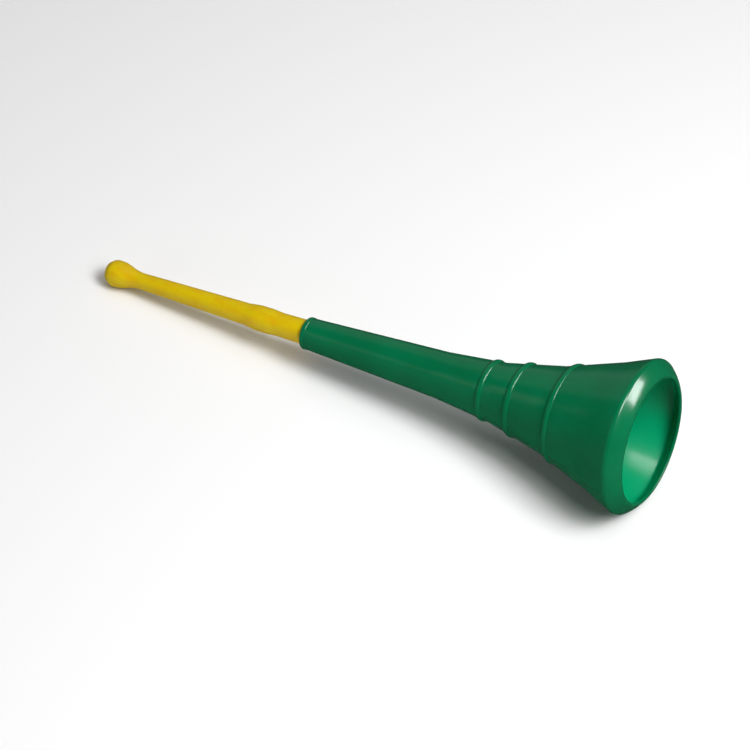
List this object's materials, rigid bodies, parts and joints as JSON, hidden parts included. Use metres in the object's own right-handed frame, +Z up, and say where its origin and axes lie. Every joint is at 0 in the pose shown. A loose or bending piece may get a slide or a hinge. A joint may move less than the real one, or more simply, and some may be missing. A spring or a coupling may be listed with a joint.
{
  "type": "collapsible stadium horn",
  "caption": "Mouth-blown plastic horn: flared bell on a tapered tube, with a mouthpiece tube that slides in through its collar to shorten it.",
  "frame": {"origin": "on the surface that the horn lies on, midway between its two ends", "axes": "+X runs along the horn from the mouthpiece to the mouth of the bell, +Z is up; the horn lies on its bell's rim and its mouthpiece knob, so its own axis dips 6 degrees towards the mouthpiece"},
  "size_m": [0.5699, 0.14, 0.1393],
  "materials": {
    "green_plastic": "glossy moulded plastic",
    "yellow_plastic": "satin moulded plastic"
  },
  "bodies": {
    "bell": {"horn_bell": "green_plastic"},
    "mouthpiece": {"mouthpiece_tube": "yellow_plastic"}
  },
  "joints": [
    {"name": "telescope_slide", "type": "slide", "parent": "bell", "child": "mouthpiece", "axis": [0.9945, 0, 0.1044], "range_m": [-0.016, 0.202]}
  ]
}
